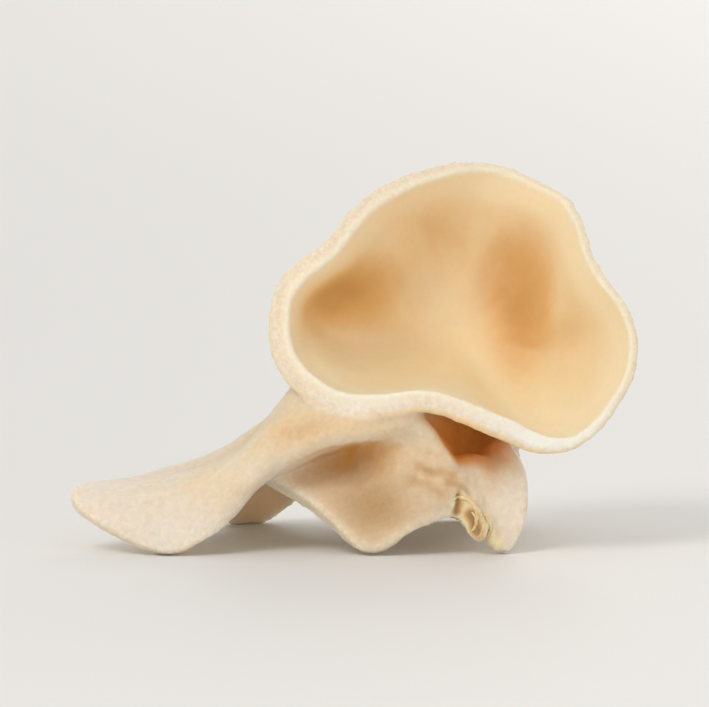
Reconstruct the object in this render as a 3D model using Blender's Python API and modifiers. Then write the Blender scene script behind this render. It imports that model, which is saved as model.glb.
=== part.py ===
"""A dried wood ear mushroom: one fused growth, a deep two-hollowed cup standing on a ruffled skirt.

Metres, +Z up. The cup opens towards -Y. The origin is the middle of the bounding box's underside.
The growth is two curved sheets of flesh and a torn stub, fused into one solid.
"""

import math

import bmesh
import bpy
import numpy as np
from mathutils import Matrix, Vector

MM = 0.001
FLESH_THICKNESS = 1.15 * MM
LIP_THICKNESS = 1.7 * MM
RIM_SHARE = 0.12
FUSE_VOXEL = 0.25 * MM
FUSE_SMOOTHING = 9
SOLID_TRIANGLES = 7600
FOOT_HEIGHT = 0.25 * MM

SEGMENTS = 144
SKIRT_INNER = 0.25
UNDERSIDE_BIAS = 0.12
RINGS = 26

# The cup's lip, anticlockwise as seen from the front, from its right side: x, y, z in mm, how
# round the bowl is below it (1 a straight cone, 3 a deep hollow), and the lip's thickness in mm.
CUP_LIP = (
    (19.1, -6.2, 13.7, 2.4, 0.62),
    (18.4, -4.8, 17.0, 2.4, 0.6),
    (16.6, -2.0, 19.8, 2.3, 0.62),
    (15.1, 1.6, 22.8, 2.3, 0.7),
    (12.6, 4.2, 24.8, 2.2, 0.8),
    (8.9, 4.4, 25.9, 2.2, 1.1),
    (4.9, 2.4, 25.5, 2.3, 1.2),
    (1.0, 0.4, 23.7, 2.4, 1.3),
    (-1.8, -2.0, 20.8, 2.4, 1.4),
    (-4.5, -2.8, 18.3, 2.4, 1.5),
    (-5.4, -3.8, 15.0, 2.4, 1.6),
    (-4.5, -5.6, 12.7, 2.3, 1.65),
    (-2.0, -7.5, 11.0, 2.1, 1.65),
    (1.6, -8.8, 10.6, 2.0, 1.55),
    (5.0, -9.6, 11.0, 1.9, 1.5),
    (8.6, -9.6, 9.9, 2.0, 1.5),
    (11.6, -9.0, 8.2, 2.2, 1.4),
    (14.8, -8.4, 7.9, 2.3, 0.8),
    (17.6, -7.4, 10.0, 2.4, 0.65),
)
CUP_BASE = (6.8, 5.2, 13.6)
CUP_AXIS = (-0.02, -0.88, 0.47)
# Hollows pressed into the cup's floor: middle x and z, radius and depth, in mm.
CUP_HOLLOWS = (
    (11.8, 16.5, 5.0, 1.6),
    (0.2, 17.4, 4.4, 2.0),
)

# Soft radial folds of the cup: where round the lip (turns), how wide (turns) and how far the
# fold bulges outwards, in mm.
CUP_FOLDS = (
    (0.075, 0.030, -0.7),
    (0.155, 0.032, 0.8),
    (0.250, 0.030, -0.9),
    (0.330, 0.032, 0.8),
    (0.415, 0.028, -0.8),
    (0.500, 0.030, 0.7),
)

# The skirt's cage: for each direction, from the right side round the front, left and back,
# where it leaves the cup's underside (x and y), a point on its shoulder, one on its flank and
# one on its hem, in mm, and the hem's thickness.
SKIRT = (
    ((9.8, 2.8), (10.0, 1.6, 8.6), (10.6, 0.4, 7.4), (11.0, -0.6, 6.6), 1.2),
    ((9.4, 1.6), (8.8, -0.6, 5.8), (9.9, -2.6, 6.6), (10.9, -3.8, 7.0), 1.2),
    ((9.0, 1.0), (8.2, -1.2, 5.2), (9.6, -4.2, 6.0), (11.9, -5.6, 4.0), 1.2),
    ((8.4, 0.6), (7.6, -1.4, 5.0), (8.7, -5.2, 6.0), (10.6, -6.9, 0.25), 1.3),
    ((7.6, 0.0), (7.0, -1.6, 5.2), (7.5, -5.6, 6.1), (8.4, -6.9, 2.2), 1.5),
    ((6.4, -1.4), (6.4, -2.6, 5.8), (6.7, -7.0, 5.7), (6.0, -7.6, 2.8), 1.4),
    ((4.6, -6.6), (4.3, -7.5, 9.2), (4.9, -7.3, 7.4), (3.4, -8.2, 1.4), 1.3),
    ((2.8, -6.8), (2.0, -7.9, 9.0), (2.1, -6.6, 7.2), (0.8, -8.0, 0.5), 1.3),
    ((1.0, -7.2), (-0.2, -8.0, 8.6), (-0.7, -4.2, 7.2), (-2.4, -6.6, 2.7), 1.3),
    ((-0.6, -7.0), (-2.2, -7.8, 8.2), (-3.8, -4.2, 6.4), (-6.0, -4.3, 4.7), 1.3),
    ((-1.8, -6.2), (-3.4, -7.4, 8.2), (-5.3, -6.2, 6.2), (-7.4, -5.8, 4.7), 1.3),
    ((-2.6, -5.4), (-3.4, -6.4, 9.6), (-6.8, -7.0, 6.0), (-10.2, -7.9, 1.4), 1.3),
    ((-3.2, -4.6), (-4.4, -5.6, 9.4), (-8.6, -6.2, 5.8), (-14.4, -7.8, 0.55), 1.2),
    ((-3.2, -3.4), (-5.0, -4.0, 9.0), (-10.0, -4.6, 5.2), (-19.3, -5.8, 3.3), 1.0),
    ((-3.0, -2.2), (-5.0, -2.0, 8.8), (-9.6, -2.2, 5.4), (-16.8, -2.4, 4.2), 1.1),
    ((-2.4, -0.4), (-4.4, 0.6, 8.8), (-8.0, 1.6, 6.2), (-11.6, 1.6, 4.0), 1.2),
    ((-1.0, 1.6), (-3.2, 3.0, 9.2), (-6.8, 5.8, 5.8), (-9.6, 8.0, 1.05), 1.3),
    ((1.0, 3.2), (-1.2, 4.8, 9.6), (-3.4, 7.0, 6.0), (-5.4, 10.2, 1.0), 1.3),
    ((3.0, 4.4), (1.2, 5.6, 9.8), (0.2, 6.2, 7.0), (-0.8, 7.6, 5.4), 1.4),
    ((5.0, 5.2), (4.0, 6.4, 10.0), (3.4, 7.8, 6.4), (2.6, 10.6, 2.6), 1.3),
    ((7.2, 5.4), (6.6, 6.8, 10.0), (6.8, 8.2, 5.6), (7.6, 11.4, 0.5), 1.3),
    ((9.0, 4.8), (8.4, 6.0, 9.8), (9.0, 6.8, 6.2), (10.6, 8.6, 2.6), 1.3),
    ((10.0, 3.6), (9.4, 3.8, 9.2), (10.2, 3.4, 7.4), (11.0, 3.0, 5.8), 1.2),
)

# The torn stub the growth hung by: balls of flesh in a row, x, y, z and radius in mm.
STUB = (
    (7.5, -5.6, 4.6, 1.3),
    (7.9, -6.6, 3.6, 1.15),
    (8.1, -7.2, 2.7, 0.95),
    (8.9, -7.3, 2.2, 0.75),
    (8.3, -7.7, 1.8, 0.6),
    (7.1, -6.9, 3.4, 0.8),
)

FLESH_COLOUR = (0.79, 0.61, 0.41, 1.0)


def clear_scene():
    for obj in list(bpy.data.objects):
        bpy.data.objects.remove(obj)


def spline_weights(knots, where, closed):
    """The matrix that takes values at evenly spaced knots to a smooth curve through them."""
    spans = knots if closed else knots - 1
    second = np.zeros((knots, knots))
    change = np.zeros((knots, knots))
    for i in range(knots):
        second[i, i] = 4.0
        before, after = (i - 1) % knots, (i + 1) % knots
        if not closed and i in (0, knots - 1):
            second[i, i] = 1.0
            continue
        second[i, before] = second[i, after] = 1.0
        change[i, before] = change[i, after] = 6.0
        change[i, i] = -12.0
    bend = np.linalg.solve(second, change)
    weights = np.zeros((len(where), knots))
    for row, share in enumerate(where):
        position = share * spans
        span = min(int(position), spans - 1)
        b = position - span
        a = 1.0 - b
        after = (span + 1) % knots
        weights[row, span] += a
        weights[row, after] += b
        weights[row] += (a**3 - a) / 6.0 * bend[span] + (b**3 - b) / 6.0 * bend[after]
    return weights


def disc(name, inner):
    """A flat disc of rings and segments, spun from one spoke that runs from inner to 1."""
    mesh = bmesh.new()
    radii = np.linspace(inner, 1.0, RINGS + 1)
    spoke = [mesh.verts.new((radius, 0.0, 0.0)) for radius in radii]
    edges = [mesh.edges.new(pair) for pair in zip(spoke, spoke[1:])]
    bmesh.ops.spin(
        mesh,
        geom=spoke + edges,
        cent=(0.0, 0.0, 0.0),
        axis=(0.0, 0.0, 1.0),
        angle=math.tau,
        steps=SEGMENTS,
        use_merge=True,
    )
    bmesh.ops.remove_doubles(mesh, verts=mesh.verts, dist=1e-5)
    return new_object(name, mesh)


def disc_places(obj, inner):
    """Each vertex's ring and segment on the disc, as whole numbers."""
    flat = np.array([v.co for v in obj.data.vertices])
    share = (np.hypot(flat[:, 0], flat[:, 1]) - inner) / (1.0 - inner)
    ring = np.rint(share * RINGS).astype(int)
    turn = np.arctan2(flat[:, 1], flat[:, 0]) / math.tau
    segment = np.rint(turn * SEGMENTS).astype(int) % SEGMENTS
    return ring, segment


def cup_surface():
    """Points of the cup's sheet in mm, as rings by segments."""
    turns = np.arange(SEGMENTS) / SEGMENTS
    lip = spline_weights(len(CUP_LIP), turns, True) @ np.array(CUP_LIP)
    base = np.array(CUP_BASE)
    axis = np.array(CUP_AXIS) / np.linalg.norm(CUP_AXIS)
    reach = lip[:, :3] - base
    height = reach @ axis
    across = reach - height[:, None] * axis
    share = np.linspace(0.0, 1.0, RINGS + 1)[:, None]
    rise = height * share ** lip[:, 3]
    points = base + across * share[..., None] + axis * rise[..., None]
    for x, z, radius, depth in CUP_HOLLOWS:
        away = (points[..., 0] - x) ** 2 + (points[..., 2] - z) ** 2
        push = depth * np.exp(-away / radius**2) * (1.0 - share**4)
        points = points - axis * push[..., None]
    outward = across / np.linalg.norm(across, axis=1, keepdims=True)
    for turn, width, bulge in CUP_FOLDS:
        away = (turns - turn + 0.5) % 1.0 - 0.5
        push = bulge * np.exp(-((away / width) ** 2)) * np.sin(math.pi * share**1.5) ** 2
        points = points + outward * push[..., None]
    return points, lip[:, 4]


def below_cup(cup, x, y):
    """The point of the cup's underside nearest above x and y."""
    points = cup.reshape(-1, 3)
    away = np.hypot(points[:, 0] - x, points[:, 1] - y) + UNDERSIDE_BIAS * points[:, 2]
    return points[np.argmin(away)]


def skirt_surface(cup):
    """Points of the skirt's sheet in mm, as rings by segments, and its hem's thickness."""
    cage = np.array([[below_cup(cup, *row[0]), *row[1:4]] for row in SKIRT])
    hem = np.array([row[4] for row in SKIRT])
    around = spline_weights(len(SKIRT), np.arange(SEGMENTS) / SEGMENTS, True)
    down = spline_weights(4, np.linspace(0.0, 1.0, RINGS + 1), False)
    return np.einsum("sk,rj,kjc->rsc", around, down, cage), around @ hem


def sheet(name, points, rim_thickness, inner):
    """The disc drawn over a surface and given its thickness, thicker at the rim."""
    obj = disc(name, inner)
    ring, segment = disc_places(obj, inner)
    places = points[ring, segment] * MM
    obj.data.vertices.foreach_set("co", places.ravel())
    group = obj.vertex_groups.new(name="thickness")
    rim = rim_thickness[segment] * MM
    nearness = np.clip((ring / RINGS - 1.0 + RIM_SHARE) / RIM_SHARE, 0.0, 1.0)
    thickness = FLESH_THICKNESS + (rim - FLESH_THICKNESS) * nearness
    for index, share in enumerate(thickness / LIP_THICKNESS):
        group.add([index], share, "REPLACE")
    solidify = obj.modifiers.new("Flesh", "SOLIDIFY")
    solidify.thickness = LIP_THICKNESS
    solidify.offset = 0.0
    solidify.vertex_group = group.name
    return obj


def stub_balls():
    """The stub's balls as one piece."""
    mesh = bmesh.new()
    for x, y, z, radius in STUB:
        place = Matrix.Translation(Vector((x, y, z)) * MM)
        bmesh.ops.create_icosphere(mesh, subdivisions=3, radius=radius * MM, matrix=place)
    return new_object("stub", mesh)


def taken(pieces):
    """The pieces' shapes with their modifiers, in one bmesh; the pieces are removed."""
    mesh = bmesh.new()
    depsgraph = bpy.context.evaluated_depsgraph_get()
    for piece in pieces:
        mesh.from_object(piece, depsgraph)
    for piece in pieces:
        bpy.data.objects.remove(piece)
    return mesh


def new_object(name, mesh):
    data = bpy.data.meshes.new(name)
    mesh.to_mesh(data)
    mesh.free()
    obj = bpy.data.objects.new(name, data)
    bpy.context.scene.collection.objects.link(obj)
    return obj


def fuse(pieces):
    """The pieces drawn over with one closed skin, softened and thinned out."""
    skin = new_object("skin", taken(pieces))
    remesh = skin.modifiers.new("One skin", "REMESH")
    remesh.mode = "VOXEL"
    remesh.voxel_size = FUSE_VOXEL
    soften = skin.modifiers.new("Soften", "SMOOTH")
    soften.factor = 0.5
    soften.iterations = FUSE_SMOOTHING
    dense = taken([skin])
    bmesh.ops.triangulate(dense, faces=dense.faces)
    share = SOLID_TRIANGLES / len(dense.faces)
    thin = new_object("thin", dense)
    decimate = thin.modifiers.new("Thin out", "DECIMATE")
    decimate.ratio = share
    return taken([thin])


def stand(mesh):
    """The lowest tips cut off flat, and the origin put under the middle of the whole."""
    low = min(v.co.z for v in mesh.verts)
    cut = bmesh.ops.bisect_plane(
        mesh,
        geom=mesh.verts[:] + mesh.edges[:] + mesh.faces[:],
        dist=1e-7,
        plane_co=(0.0, 0.0, low + FOOT_HEIGHT),
        plane_no=(0.0, 0.0, 1.0),
        clear_inner=True,
    )
    edges = [e for e in cut["geom_cut"] if isinstance(e, bmesh.types.BMEdge)]
    bmesh.ops.holes_fill(mesh, edges=edges, sides=0)
    bmesh.ops.triangulate(mesh, faces=mesh.faces)
    bmesh.ops.recalc_face_normals(mesh, faces=mesh.faces)
    places = np.array([v.co for v in mesh.verts])
    middle = (places.min(axis=0) + places.max(axis=0)) / 2.0
    shift = Vector((-middle[0], -middle[1], -(low + FOOT_HEIGHT)))
    bmesh.ops.translate(mesh, verts=mesh.verts, vec=shift)


def flesh_material():
    material = bpy.data.materials.new("ear_flesh")
    material.use_nodes = True
    shader = material.node_tree.nodes["Principled BSDF"]
    shader.inputs["Base Color"].default_value = FLESH_COLOUR
    shader.inputs["Roughness"].default_value = 0.55
    material.diffuse_color = FLESH_COLOUR
    return material


def main():
    clear_scene()
    cup_points, lip = cup_surface()
    cup = sheet("cup", cup_points, lip, 0.0)
    skirt_points, hem = skirt_surface(cup_points)
    skirt = sheet("skirt", skirt_points, hem, SKIRT_INNER)
    whole = fuse([cup, skirt, stub_balls()])
    stand(whole)
    ear = new_object("wood_ear", whole)
    for polygon in ear.data.polygons:
        polygon.use_smooth = True
    ear.data.materials.append(flesh_material())
    collection = bpy.data.collections.new("wood_ear_mushroom")
    bpy.context.scene.collection.children.link(collection)
    collection.objects.link(ear)
    bpy.context.scene.collection.objects.unlink(ear)


main()
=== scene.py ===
"""A dried wood ear mushroom on a pale studio floor.

It is a Blender add-on that is run as a script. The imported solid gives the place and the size.
The visible flesh is modelled again over the same construction, finer: two curved sheets with
thick lips and a torn stub, fused into one skin, with the wrinkles, the velvety down of the outer
face and the curled layers torn open at the stub.
Lengths in the tables are in mm. +Z is up, and the cup opens towards -Y.
"""

import math

import bmesh
import bpy
import numpy as np
from bpy.props import FloatProperty, FloatVectorProperty, IntProperty, PointerProperty
from mathutils import Matrix, Vector, noise
from mathutils.bvhtree import BVHTree
from mathutils.kdtree import KDTree


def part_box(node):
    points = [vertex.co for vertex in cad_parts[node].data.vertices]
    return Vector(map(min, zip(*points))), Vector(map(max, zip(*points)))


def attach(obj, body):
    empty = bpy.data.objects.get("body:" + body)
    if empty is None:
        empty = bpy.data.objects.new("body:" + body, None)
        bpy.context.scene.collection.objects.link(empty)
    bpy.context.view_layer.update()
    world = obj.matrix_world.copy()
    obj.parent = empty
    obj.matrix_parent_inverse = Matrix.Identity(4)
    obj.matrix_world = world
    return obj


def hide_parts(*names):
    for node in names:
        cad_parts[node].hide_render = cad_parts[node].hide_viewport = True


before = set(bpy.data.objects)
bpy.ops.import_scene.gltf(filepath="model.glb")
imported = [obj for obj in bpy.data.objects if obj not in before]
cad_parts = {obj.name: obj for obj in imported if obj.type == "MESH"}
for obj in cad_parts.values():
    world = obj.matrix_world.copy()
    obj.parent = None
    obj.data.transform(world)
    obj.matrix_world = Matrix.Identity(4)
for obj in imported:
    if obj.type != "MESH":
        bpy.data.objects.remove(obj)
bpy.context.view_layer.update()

bl_info = {
    "name": "Wood ear mushroom",
    "version": (1, 0, 0),
    "blender": (4, 5, 0),
    "location": "View3D > Sidebar > Wood ear",
    "description": "Models a dried wood ear mushroom over its packed solid, with a studio stage",
    "category": "Object",
}

MM = 0.001
NODE = "wood_ear"

# The cup's lip, anticlockwise as seen from the front, from its right side: x, y, z in mm, how
# round the bowl is below it (1 a straight cone, 3 a deep hollow), and the lip's thickness in mm.
CUP_LIP = (
    (19.1, -6.2, 13.7, 2.4, 0.62),
    (18.4, -4.8, 17.0, 2.4, 0.6),
    (16.6, -2.0, 19.8, 2.3, 0.62),
    (15.1, 1.6, 22.8, 2.3, 0.7),
    (12.6, 4.2, 24.8, 2.2, 0.8),
    (8.9, 4.4, 25.9, 2.2, 1.1),
    (4.9, 2.4, 25.5, 2.3, 1.2),
    (1.0, 0.4, 23.7, 2.4, 1.3),
    (-1.8, -2.0, 20.8, 2.4, 1.4),
    (-4.5, -2.8, 18.3, 2.4, 1.5),
    (-5.4, -3.8, 15.0, 2.4, 1.6),
    (-4.5, -5.6, 12.7, 2.3, 1.65),
    (-2.0, -7.5, 11.0, 2.1, 1.65),
    (1.6, -8.8, 10.6, 2.0, 1.55),
    (5.0, -9.6, 11.0, 1.9, 1.5),
    (8.6, -9.6, 9.9, 2.0, 1.5),
    (11.6, -9.0, 8.2, 2.2, 1.4),
    (14.8, -8.4, 7.9, 2.3, 0.8),
    (17.6, -7.4, 10.0, 2.4, 0.65),
)
CUP_BASE = (6.8, 5.2, 13.6)
CUP_AXIS = (-0.02, -0.88, 0.47)
# Hollows pressed into the cup's floor: middle x and z, radius and depth, in mm.
CUP_HOLLOWS = (
    (11.8, 16.5, 5.0, 1.6),
    (0.2, 17.4, 4.4, 2.0),
)
# Soft radial folds of the cup: where round the lip (turns), how wide (turns) and how far the
# fold bulges outwards, in mm.
CUP_FOLDS = (
    (0.075, 0.030, -0.7),
    (0.155, 0.032, 0.8),
    (0.250, 0.030, -0.9),
    (0.330, 0.032, 0.8),
    (0.415, 0.028, -0.8),
    (0.500, 0.030, 0.7),
)

# The skirt's cage: for each direction, from the right side round the front, left and back,
# where it leaves the cup's underside (x and y), a point on its shoulder, one on its flank and
# one on its hem, in mm, and the hem's thickness.
SKIRT = (
    ((9.8, 2.8), (10.0, 1.6, 8.6), (10.6, 0.4, 7.4), (11.0, -0.6, 6.6), 1.2),
    ((9.4, 1.6), (8.8, -0.6, 5.8), (9.9, -2.6, 6.6), (10.9, -3.8, 7.0), 1.2),
    ((9.0, 1.0), (8.2, -1.2, 5.2), (9.6, -4.2, 6.0), (11.9, -5.6, 4.0), 1.2),
    ((8.4, 0.6), (7.6, -1.4, 5.0), (8.7, -5.2, 6.0), (10.6, -6.9, 0.25), 1.3),
    ((7.6, 0.0), (7.0, -1.6, 5.2), (7.5, -5.6, 6.1), (8.4, -6.9, 2.2), 1.5),
    ((6.4, -1.4), (6.4, -2.6, 5.8), (6.7, -7.0, 5.7), (6.0, -7.6, 2.8), 1.4),
    ((4.6, -6.6), (4.3, -7.5, 9.2), (4.9, -7.3, 7.4), (3.4, -8.2, 1.4), 1.3),
    ((2.8, -6.8), (2.0, -7.9, 9.0), (2.1, -6.6, 7.2), (0.8, -8.0, 0.5), 1.3),
    ((1.0, -7.2), (-0.2, -8.0, 8.6), (-0.7, -4.2, 7.2), (-2.4, -6.6, 2.7), 1.3),
    ((-0.6, -7.0), (-2.2, -7.8, 8.2), (-3.8, -4.2, 6.4), (-6.0, -4.3, 4.7), 1.3),
    ((-1.8, -6.2), (-3.4, -7.4, 8.2), (-5.3, -6.2, 6.2), (-7.4, -5.8, 4.7), 1.3),
    ((-2.6, -5.4), (-3.4, -6.4, 9.6), (-6.8, -7.0, 6.0), (-10.2, -7.9, 1.4), 1.3),
    ((-3.2, -4.6), (-4.4, -5.6, 9.4), (-8.6, -6.2, 5.8), (-14.4, -7.8, 0.55), 1.2),
    ((-3.2, -3.4), (-5.0, -4.0, 9.0), (-10.0, -4.6, 5.2), (-19.3, -5.8, 3.3), 1.0),
    ((-3.0, -2.2), (-5.0, -2.0, 8.8), (-9.6, -2.2, 5.4), (-16.8, -2.4, 4.2), 1.1),
    ((-2.4, -0.4), (-4.4, 0.6, 8.8), (-8.0, 1.6, 6.2), (-11.6, 1.6, 4.0), 1.2),
    ((-1.0, 1.6), (-3.2, 3.0, 9.2), (-6.8, 5.8, 5.8), (-9.6, 8.0, 1.05), 1.3),
    ((1.0, 3.2), (-1.2, 4.8, 9.6), (-3.4, 7.0, 6.0), (-5.4, 10.2, 1.0), 1.3),
    ((3.0, 4.4), (1.2, 5.6, 9.8), (0.2, 6.2, 7.0), (-0.8, 7.6, 5.4), 1.4),
    ((5.0, 5.2), (4.0, 6.4, 10.0), (3.4, 7.8, 6.4), (2.6, 10.6, 2.6), 1.3),
    ((7.2, 5.4), (6.6, 6.8, 10.0), (6.8, 8.2, 5.6), (7.6, 11.4, 0.5), 1.3),
    ((9.0, 4.8), (8.4, 6.0, 9.8), (9.0, 6.8, 6.2), (10.6, 8.6, 2.6), 1.3),
    ((10.0, 3.6), (9.4, 3.8, 9.2), (10.2, 3.4, 7.4), (11.0, 3.0, 5.8), 1.2),
)

# The torn stub the growth hung by: balls of flesh in a row, x, y, z and radius in mm.
STUB = (
    (7.5, -5.6, 4.6, 1.3),
    (7.9, -6.6, 3.6, 1.15),
    (8.1, -7.2, 2.7, 0.95),
    (8.9, -7.3, 2.2, 0.75),
    (8.3, -7.7, 1.8, 0.6),
    (7.1, -6.9, 3.4, 0.8),
)

# Where a painted glow and painted shade stand in for light coming through the thin flesh round a
# deep hollow, as a deep orange colour and a faint emission: middle and reach in mm, share.
PAINTED_GLOW_SPOTS = (
    ((7.2, -5.6, 7.4), (2.6, 6.0, 2.4), 1.0),
    ((9.4, -5.4, 7.9), (2.0, 4.4, 1.5), 0.85),
    ((8.4, -5.6, 6.5), (1.5, 3.5, 0.9), 0.6),
    ((0.6, -5.0, 7.3), (2.8, 5.0, 1.7), 0.55),
)

# The line along which the stub is torn, in mm.
TEAR = ((7.1, -7.5, 3.8), (7.9, -8.2, 2.9), (8.7, -8.4, 1.9), (9.4, -7.8, 0.9))

# The curled layers torn open round the stub's hollow, as arcs seen from the front: middle x and
# z, the radius across and up in mm, first and last angle in degrees from +X, half thickness.
CURLS = (
    ((7.2, 2.8), (1.15, 1.25), 118.0, -20.0, 0.16),
    ((7.75, 2.35), (0.62, 0.8), 70.0, -66.0, 0.13),
    ((7.85, 2.3), (0.98, 1.1), 62.0, -58.0, 0.13),
    ((7.95, 2.1), (1.35, 1.3), 46.0, -44.0, 0.14),
    # this one mostly misses the flesh and is left out, but its draws come before the next one's
    ((9.3, 1.15), (0.42, 0.42), 150.0, 330.0, 0.12),
    ((9.45, 1.0), (0.2, 0.2), 120.0, 340.0, 0.08),
)

# Creases of the skirt's front by the stub, seen from the front: points (x, z) along the crease,
# half width and depth in mm. Shade is painted into them as a warmer, darker colour.
CREASES = (
    (((4.4, 6.3), (5.2, 5.85), (6.2, 5.95), (6.9, 5.7)), 0.34, 0.17),
    (((4.0, 5.3), (4.9, 5.0), (5.9, 4.4)), 0.42, 0.12),
    (((6.4, 5.2), (7.1, 5.0), (7.6, 4.5)), 0.3, 0.15),
    (((5.0, 7.2), (5.9, 6.8)), 0.36, 0.06),
    (((9.0, 6.6), (9.5, 5.8), (9.6, 4.6)), 0.5, 0.14),
)

# Where the skirt's front doubles over: points (x, z) along the fold with the raised side on the
# left of their direction, then how far the fold stands out and how far it sinks beyond, in mm. The
# colours paint a highlight along the raised side and shade with a glow beyond the fold.
FRONT_FOLDS = (
    (
        ((9.6, 8.3), (9.0, 7.2), (8.1, 6.55), (6.9, 6.45), (6.2, 7.4), (5.4, 8.7), (4.4, 10.0)),
        0.05,
        0.45,
    ),
    (((-7.4, 4.9), (-3.8, 6.9), (-1.6, 7.8), (0.7, 8.2), (2.2, 8.0)), 0.03, 0.1),
)

# Where the flesh is coloured warmer and darker, inside the cup and on the outer face: partly its
# own amber tone, partly painted shade in the cup's hollows, under the band, on the middle lobe and
# round the neck, with a painted shadow in the cup's left hollow. Middle (x, y, z) and reach along
# each axis in mm, and how warm.
TONE_AND_SHADE_INSIDE = (
    ((11.4, 3.7, 16.4), (3.0, 9.0, 5.4), 0.88),
    ((14.6, 0.0, 15.6), (4.2, 9.0, 5.6), 0.36),
    ((-1.2, -0.6, 17.6), (6.2, 9.0, 3.2), 0.95),
    ((6.4, 4.0, 21.0), (6.0, 9.0, 3.6), 0.36),
    ((5.2, 3.4, 12.6), (5.0, 9.0, 3.0), 0.3),
)
TONE_AND_SHADE_OUTSIDE = (
    ((-2.4, -8.4, 8.2), (4.4, 3.0, 1.8), 0.58),
    ((-9.8, -6.6, 5.2), (3.0, 3.0, 1.6), 0.14),
    ((0.6, -6.4, 6.0), (3.6, 4.0, 3.0), 0.72),
    ((1.2, -7.6, 3.6), (4.4, 4.0, 3.2), 0.7),
    ((6.0, -7.4, 5.4), (3.0, 3.0, 3.0), 0.36),
    ((8.0, -7.8, 3.2), (2.0, 2.5, 2.2), 0.34),
    ((4.6, 8.0, 11.0), (7.0, 5.0, 2.6), 0.42),
    ((-6.0, 2.0, 8.6), (4.0, 5.0, 2.6), 0.36),
)

# Where the outer face is darker, as painted shade on the middle lobe and by the stub, where it is
# palest, and where the lip is whitest: middle (x, y, z) and reach along each axis in mm, and how
# much.
PAINTED_SHADE_SPOTS = (
    ((1.0, -7.0, 3.2), (4.8, 4.0, 3.2), 1.0),
    ((5.6, -7.6, 4.4), (2.6, 3.0, 2.6), 0.5),
)
PALEST = (
    ((10.4, -7.2, 5.0), (2.2, 3.0, 3.4), 1.0),
    ((-4.2, -4.4, 5.6), (2.6, 3.0, 1.6), 0.5),
)
WHITE_LIP = (
    ((13.0, -8.6, 8.6), (6.0, 4.0, 3.4), 1.0),
    ((1.0, -8.4, 10.8), (4.0, 4.0, 2.4), 0.4),
)

# Where the lip's outer edge is painted orange, a painted glow standing in for light coming through
# from the hollow below: middle, reach in mm, share.
LIT_EDGE = (((8.4, -9.4, 9.6), (4.6, 2.5, 2.6), 0.85),)

# How far out the skirt's sheet starts, as a share of its radius, and how much the low points of
# the cup's underside are preferred when the skirt's top is hung on it.
SKIRT_INNER = 0.25
UNDERSIDE_BIAS = 0.12
RINGS = 60
SEGMENTS = 420
# The wall that a full weight gives, in mm, and the share of a sheet over which its rim thickens.
LIP_THICKNESS = 1.7
RIM_SHARE = 0.12
SMOOTH_STEPS = 4
# How far a wall is felt, in mm, and along how many rays, for the occlusion that paints shade into
# the colours.
OCCLUSION_REACH = 16.0
OCCLUSION_RAYS = 16
OCCLUSION_SPREAD = 10
# How much of each foot is cut flat, in mm.
FOOT_HEIGHT = 0.25

# How far each kind of roughness stands out, in mm: on the outer face, inside, at the lip and
# along the tear.
GRAIN, SWELL, WRINKLE, CREPE = 0.02, 0.05, 0.46, 0.05
INNER_SWELL = 0.035
LIP_GRAIN, EDGE_STAND, WHITE_EDGE_STAND = 0.026, 0.035, 0.045
TEAR_DEPTH, TEAR_GRAIN = 0.52, 0.03
# How many ridges run round a sheet, bold and fine, and the width of a torn layer in mm.
BOLD_PLEATS, FINE_PLEATS = 20.0, 46.0
TEAR_SPACING = 0.62

# The down: how deep a hair is rooted and the lowest it stands, in mm; how much a root fills of
# its triangle's reach; how far hairs lean at random and fall; and how much shorter they are in
# front of a y, in mm.
ROOT_DEPTH, HAIR_LOWEST = 0.07, 0.35
ROOT_SHARE = 0.6
HAIR_LEAN, HAIR_FALL = 0.45, 0.35
FRONT_Y, FRONT_LENGTH = -5.0, 0.6
# Above these values of the flesh's attributes no hair grows.
HAIRLESS = {"inner": 0.3, "rim": 0.3, "torn": 0.3, "painted_glow": 0.3, "pale": 0.45}

# How a curl is laid: where the look at the flesh starts, in mm, how many points it has and the
# fewest that make one, how far it may step in or out before it is cut, how deep it is sunk and
# how low it may run, in mm.
CURL_START = -20.0
CURL_POINTS, CURL_FEWEST = 15, 5
CURL_STEP, CURL_SINK, CURL_LOWEST = 0.5, 0.04, 0.15
CURL_SEED = 11

# Colours past those in the settings: stops on the way inside, on the outer face, over the tear
# and along the torn layers.
STRAW = (0.84, 0.67, 0.4)
# the darker stops are reached where the outer face is warmer in tone and where shade is painted
OUTER_STOPS = (
    (0.25, (0.81, 0.68, 0.49)),
    (0.5, (0.8, 0.61, 0.38)),
    (0.75, (0.69, 0.46, 0.23)),
    (1.0, (0.58, 0.33, 0.1)),
)
TEAR_STOPS = ((0.7, (0.8, 0.6, 0.34)), (0.95, (0.88, 0.74, 0.5)))
LAYER_STOPS = ((0.5, (0.88, 0.64, 0.32)), (0.75, (0.96, 0.8, 0.5)))
FROST_COLOUR = (0.86, 0.78, 0.66)
DOWN_COLOUR = (0.9, 0.83, 0.72)
# What is laid over the outer face and then over the whole skin, in order: the attribute that says
# where, how much, and the colour.
OUTER_LAYERS = (
    # painted highlight on the wrinkles' crests
    ("crest", 0.55, (0.9, 0.82, 0.7)),
    # painted shade on the middle lobe and by the stub
    ("painted_shade", 0.3, (0.2, 0.1, 0.05)),
    ("palest", 0.5, (0.95, 0.86, 0.74)),
)
LIP_LAYERS = (
    ("white", 1.0, (0.95, 0.91, 0.85)),
    ("back_edge", 0.7, (0.88, 0.72, 0.46)),
    # painted highlight along the lip's inner edge
    ("edge", 1.0, (0.93, 0.86, 0.72)),
    # painted glow along the lip's outer edge
    ("lit_edge", 1.0, (0.93, 0.6, 0.28)),
)
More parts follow.
